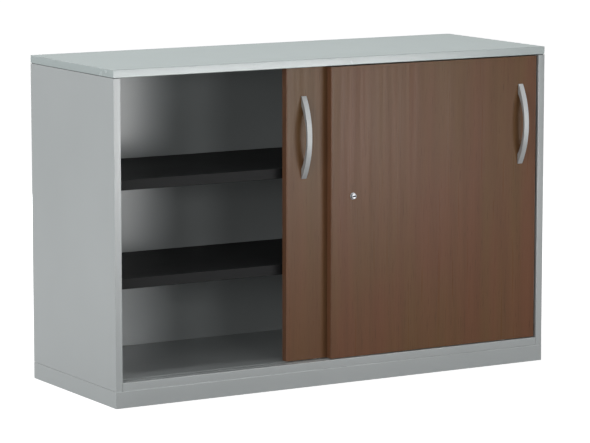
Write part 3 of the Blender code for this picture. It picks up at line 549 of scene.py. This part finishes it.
def brushed_metal(name, colour, roughness):
    """Die-cast metal with a satin finish drawn along its length, under a matt lacquer."""
    look = Look(name, colour, roughness, metallic=0.6)
    edge = look.edges(0.0006)
    brush = look.streaks(1900, 2.0, 0.6, 0.012)
    cloud = look.noise(24, 3.0, 0.6)
    base = look.varied(brush, NARROW, colour, 0.93, 1.05)
    # Painted highlight along the edges
    base = look.touched(base, edge, 0.25, shade(colour, 1.2))
    gloss = look.span(cloud, *WIDE, roughness - 0.05, roughness + 0.07)
    look.bump(brush, 0.00001, 0.35)
    return look.finish(base, gloss)


def keyway(look, node):
    """1 in the mouth of the keyway, in the middle of the node's face, where shade is painted.
    """
    low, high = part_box(node)
    width, height = (
        look.span(look.off(axis, middle), half + SLOT_BLUR, half)
        for axis, middle, half in (
            ("X", (low.x + high.x) / 2, SLOT_HALF[0]),
            ("Z", (low.z + high.z) / 2, SLOT_HALF[1]),
        )
    )
    return look.times(width, height)


def plated(name, colour, roughness, tint, spangle, slotted=None):
    """Plated steel: cells of slightly unlike gloss, a tint, fine scratches and painted shade
    in a keyway.

    slotted is the node whose keyway mouth is painted dark as shade.
    """
    look = Look(name, colour, roughness, metallic=1.0)
    look.edges(0.0003)
    cells = look.add("ShaderNodeTexVoronoi")
    look.feed_all(cells, Vector=look.place, Scale=spangle)
    cell = look.add("ShaderNodeSeparateColor")
    look.feed(cell.inputs[0], cells.outputs["Color"])
    drawn = look.stretched(1.0, 0.06, 1.0, turn=SCRATCH_TURN)
    scratch = look.noise(900, 2.0, 0.6, place=drawn)
    base = look.mix(look.span(look.noise(60, 3.0, 0.6), *NARROW), colour, tint)
    gloss = look.span(cell.outputs[0], 0.0, 1.0, roughness - 0.06, roughness + 0.10)
    if slotted:
        # Painted shade: the keyway's mouth is painted near black, and rough
        painted_shade_mask = keyway(look, slotted)
        base = look.mix(painted_shade_mask, base, KEYWAY_PAINTED_SHADE)
        gloss = look.maths("MAXIMUM", gloss, look.times(painted_shade_mask, 0.8))
    look.bump(scratch, 0.00001, 0.3)
    return look.finish(base, gloss)


def moulded(name, colour, roughness, grain):
    """Moulded plastic or rubber with a fine eroded texture."""
    look = Look(name, colour, roughness)
    edge = look.edges(0.0006)
    skin = look.noise(grain, 2.0, 0.65)
    cloud = look.noise(45, 3.0, 0.6)
    base = look.varied(cloud, WIDE, colour, 0.90, 1.10)
    # Painted highlight along the edges
    base = look.touched(base, edge, 0.3, shade(colour, 1.35))
    gloss = look.span(skin, *WIDE, roughness - 0.05, roughness + 0.07)
    look.bump(skin, 0.00003, 0.5)
    return look.finish(base, gloss)


def extruded(name, colour, roughness):
    """Extruded plastic with drawing lines along its length."""
    look = Look(name, colour, roughness, Specular_IOR_Level=0.8)
    edge = look.edges(0.0006)
    lines = look.noise(1300, 2.0, 0.6, place=look.stretched(0.01, 1.0, 1.0))
    dust = look.noise(14, 4.0, 0.7)
    base = look.varied(lines, NARROW, colour, 0.94, 1.05)
    base = look.mix(look.span(dust, 0.50, 0.75, 0.0, 0.10), base, shade(colour, 0.7))
    # Painted highlight along the edges
    base = look.touched(base, edge, 0.2, shade(colour, 1.2))
    gloss = look.span(dust, *WIDE, roughness - 0.008, roughness + 0.008)
    look.bump(lines, 0.00001, 0.3)
    return look.finish(base, gloss)


# Finishes by material slot: the function that makes each, and what it is given
FINISHES = {
    "carcass_grey": (powder_coat, GREY, 0.29, 0.8, WORN_GREY),
    "top_grey": (faced_board, TOP_GREY, 0.50, 0.26),
    "door_decor": (wood_decor, BROWN, DARK_BROWN, RED_BROWN, 0.30),
    "door_band": (edge_band, BAND_BROWN, 0.42),
    "satin_metal": (brushed_metal, LACQUERED_METAL, 0.55),
    "chrome": (plated, CHROME, 0.36, CHROME_TINT, 500, "lock_key_plug"),
    "shelf_black": (powder_coat, BLACK, 0.50, 0.12, WORN_BLACK),
    # Painted light: the track is a lighter grey than the carcass, so that the shade in its
    # grooves shows less
    "track_grey": (extruded, shade(GREY, 1.12), 0.30),
    "roller_white": (moulded, ROLLER_WHITE, 0.38, 700),
    "housing_black": (moulded, HOUSING_BLACK, 0.48, 1400),
    "zinc_steel": (plated, ZINC, 0.40, ZINC_TINT, 420),
    "buffer_grey": (moulded, RUBBER_GREY, 0.72, 1600),
}
LOOKS = {name: make(name, *values) for name, (make, *values) in FINISHES.items()}


def smoothing_group():
    """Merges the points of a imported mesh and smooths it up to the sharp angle."""
    group = bpy.data.node_groups.new("merged_and_smooth", "GeometryNodeTree")
    for way in ("INPUT", "OUTPUT"):
        group.interface.new_socket("Geometry", in_out=way, socket_type="NodeSocketGeometry")
    nodes, links = group.nodes, group.links
    source = nodes.new("NodeGroupInput")
    result = nodes.new("NodeGroupOutput")
    merge = nodes.new("GeometryNodeMergeByDistance")
    merge.inputs["Distance"].default_value = MERGE_DISTANCE
    angle = nodes.new("GeometryNodeInputMeshEdgeAngle")
    sharp = nodes.new("FunctionNodeCompare")
    sharp.data_type = "FLOAT"
    sharp.operation = "GREATER_THAN"
    sharp.inputs[1].default_value = SHARP_ANGLE
    normals = nodes.new("GeometryNodeSetMeshNormal")
    normals.mode = "SHARPNESS"
    normals.inputs["Remove Custom"].default_value = True
    links.new(source.outputs[0], merge.inputs["Geometry"])
    links.new(merge.outputs["Geometry"], normals.inputs["Mesh"])
    links.new(angle.outputs["Unsigned Angle"], sharp.inputs[0])
    links.new(sharp.outputs["Result"], normals.inputs["Edge Sharpness"])
    links.new(normals.outputs["Mesh"], result.inputs[0])
    return group


def dress_nodes():
    """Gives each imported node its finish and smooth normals."""
    group = smoothing_group()
    for part in frame["record"]["subparts"]:
        obj = NODES[part["node"]]
        obj.material_slots[0].material = LOOKS[part["material_slot"]]
        smooth = obj.modifiers.new("merged and smooth", "NODES")
        smooth.node_group = group
        flat = obj.modifiers.new("flats stay flat", "WEIGHTED_NORMAL")
        flat.mode = "FACE_AREA"
        flat.weight = FLAT_WEIGHT
        flat.keep_sharp = True


def made_object(name, shape):
    """A new object from a bmesh, which it frees."""
    mesh = bpy.data.meshes.new(name)
    shape.to_mesh(mesh)
    shape.free()
    obj = bpy.data.objects.new(name, mesh)
    bpy.context.scene.collection.objects.link(obj)
    return obj


def lathe(profile, steps):
    """A bmesh turned about Z from (radius, height) points, the first and last on the axis."""
    shape = bmesh.new()
    turns = [2 * math.pi * i / steps for i in range(steps)]
    rings = []
    for radius, height in profile:
        points = [(0, 0, height)]
        if radius:
            points = [(radius * math.cos(t), radius * math.sin(t), height) for t in turns]
        rings.append([shape.verts.new(point) for point in points])
    for upper, lower in zip(rings, rings[1:]):
        for i in range(steps):
            j = (i + 1) % steps
            if len(upper) == 1:
                shape.faces.new((upper[0], lower[i], lower[j]))
            elif len(lower) == 1:
                shape.faces.new((upper[i], lower[0], upper[j]))
            else:
                shape.faces.new((upper[i], lower[i], lower[j], upper[j]))
    bmesh.ops.recalc_face_normals(shape, faces=shape.faces)
    return shape


def cross_cutter(radius, top, depth):
    """Two crossed wedges that cut a screw's driver recess."""
    shape = bmesh.new()
    thick = radius * RECESS_THICK
    corners_at = (
        (radius * RECESS_UPPER, thick, top + depth),
        (radius * RECESS_LOWER, thick * RECESS_TAPER, top - depth),
    )
    for turn in (0, math.pi / 2):
        upright = Matrix.Rotation(turn, 3, "Z")
        corners = []
        for half, side, height in corners_at:
            for x, y in ((-half, -side), (half, -side), (half, side), (-half, side)):
                corners.append(shape.verts.new(upright @ Vector((x, y, height))))
        faces = [(3, 2, 1, 0), (4, 5, 6, 7)]
        faces += [(i, (i + 1) % 4, (i + 1) % 4 + 4, i + 4) for i in range(4)]
        for face in faces:
            shape.faces.new([corners[i] for i in face])
    bmesh.ops.recalc_face_normals(shape, faces=shape.faces)
    return made_object("cutter", shape)


def screw_template(radius, height, depth):
    """A domed screw head with a cross recess, its underside at 0 and its top at height."""
    profile = [(0, height)]
    for i in range(1, HEAD_RINGS + 1):
        t = i / HEAD_RINGS * math.pi / 2
        level = HEAD_RIM + (1 - HEAD_RIM) * math.cos(t)
        profile.append((radius * math.sin(t), height * level))
    profile += [(radius, 0), (0, 0)]
    head = made_object("head", lathe(profile, HEAD_STEPS))
    cutter = cross_cutter(radius, height, depth)
    boolean = head.modifiers.new("recess", "BOOLEAN")
    boolean.solver = "EXACT"
    boolean.use_self = True
    boolean.object = cutter
    bpy.context.view_layer.update()
    graph = bpy.context.evaluated_depsgraph_get()
    mesh = bpy.data.meshes.new_from_object(head.evaluated_get(graph))
    bpy.data.objects.remove(head)
    bpy.data.objects.remove(cutter)
    return mesh


def add_screws(name, template, spots, body):
    """One piece of several screws. Each spot is (place, direction that the head faces)."""
    shape = bmesh.new()
    for index, (place, facing) in enumerate(spots):
        count = len(shape.verts)
        shape.from_mesh(template)
        shape.verts.ensure_lookup_table()
        turn = Matrix.Rotation(NEXT_TURN * index + FIRST_TURN, 4, "Z")
        upright = Vector(facing).to_track_quat("Z", "Y").to_matrix().to_4x4()
        bmesh.ops.transform(
            shape,
            matrix=Matrix.Translation(place) @ upright @ turn,
            verts=shape.verts[count:],
        )
    piece = made_object(name, shape)
    piece.data.shade_smooth()
    piece.data.set_sharp_from_angle(angle=SHARP_ANGLE)
    piece.data.materials.clear()
    piece.data.materials.append(LOOKS["zinc_steel"])
    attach(piece, body)


def evenly(reach, count):
    """Places from -reach to reach."""
    return [-reach + 2 * reach * i / (count - 1) for i in range(count)]


def add_track_screws(small):
    """The screws of the running track, the guide track and the end stop."""
    low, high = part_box("running_track")
    middle = (low.y + high.y) / 2
    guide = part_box("guide_track")[0]
    places = evenly(high.x - TRACK_SCREW_INSET, TRACK_SCREWS)
    for name, height, facing in (
        ("running_track_screws", high.z - SCREW_SINK, (0, 0, 1)),
        ("guide_track_screws", guide.z + SCREW_SINK, (0, 0, -1)),
    ):
        add_screws(name, small, [((x, middle, height), facing) for x in places], "carcass")
    stop_low, stop_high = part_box("left_door_end_stop")
    centre = (stop_low + stop_high) / 2
    place = (centre.x, centre.y, stop_high.z - SCREW_SINK)
    add_screws("end_stop_screw", small, [(place, (0, 0, 1))], "carcass")


def add_back_screws():
    low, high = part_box("back_panel")
    depth = (low.y + high.y) / 2 + BACK_SCREW_SHIFT
    spots = []
    for z in BACK_SCREW_HEIGHTS:
        spots.append(((low.x + BACK_SHEET, depth, z), (1, 0, 0)))
        spots.append(((high.x - BACK_SHEET, depth, z), (-1, 0, 0)))
    for x in evenly(BACK_SCREW_REACH, BACK_SCREWS):
        spots.append(((x, depth, low.z + BACK_SHEET), (0, 0, 1)))
        spots.append(((x, depth, high.z - BACK_SHEET), (0, 0, -1)))
    add_screws("back_panel_screws", screw_template(*BACK_SCREW), spots, "carcass")


def add_strike_screws():
    low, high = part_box("lock_strike")
    x = low.x + STRIKE_SCREW_INSET
    y = low.y + STRIKE_SCREW_SINK
    heights = [low.z + share * (high.z - low.z) for share in STRIKE_SCREW_SHARES]
    spots = [((x, y, z), (0, -1, 0)) for z in heights]
    add_screws("strike_screws", screw_template(*STRIKE_SCREW), spots, "left_door")


bpy.context.scene.view_settings.view_transform = "Standard"
add_camera()
add_world()
add_floor()
add_lights()
dress_nodes()
add_track_screws(screw_template(*SMALL_SCREW))
add_back_screws()
add_strike_screws()
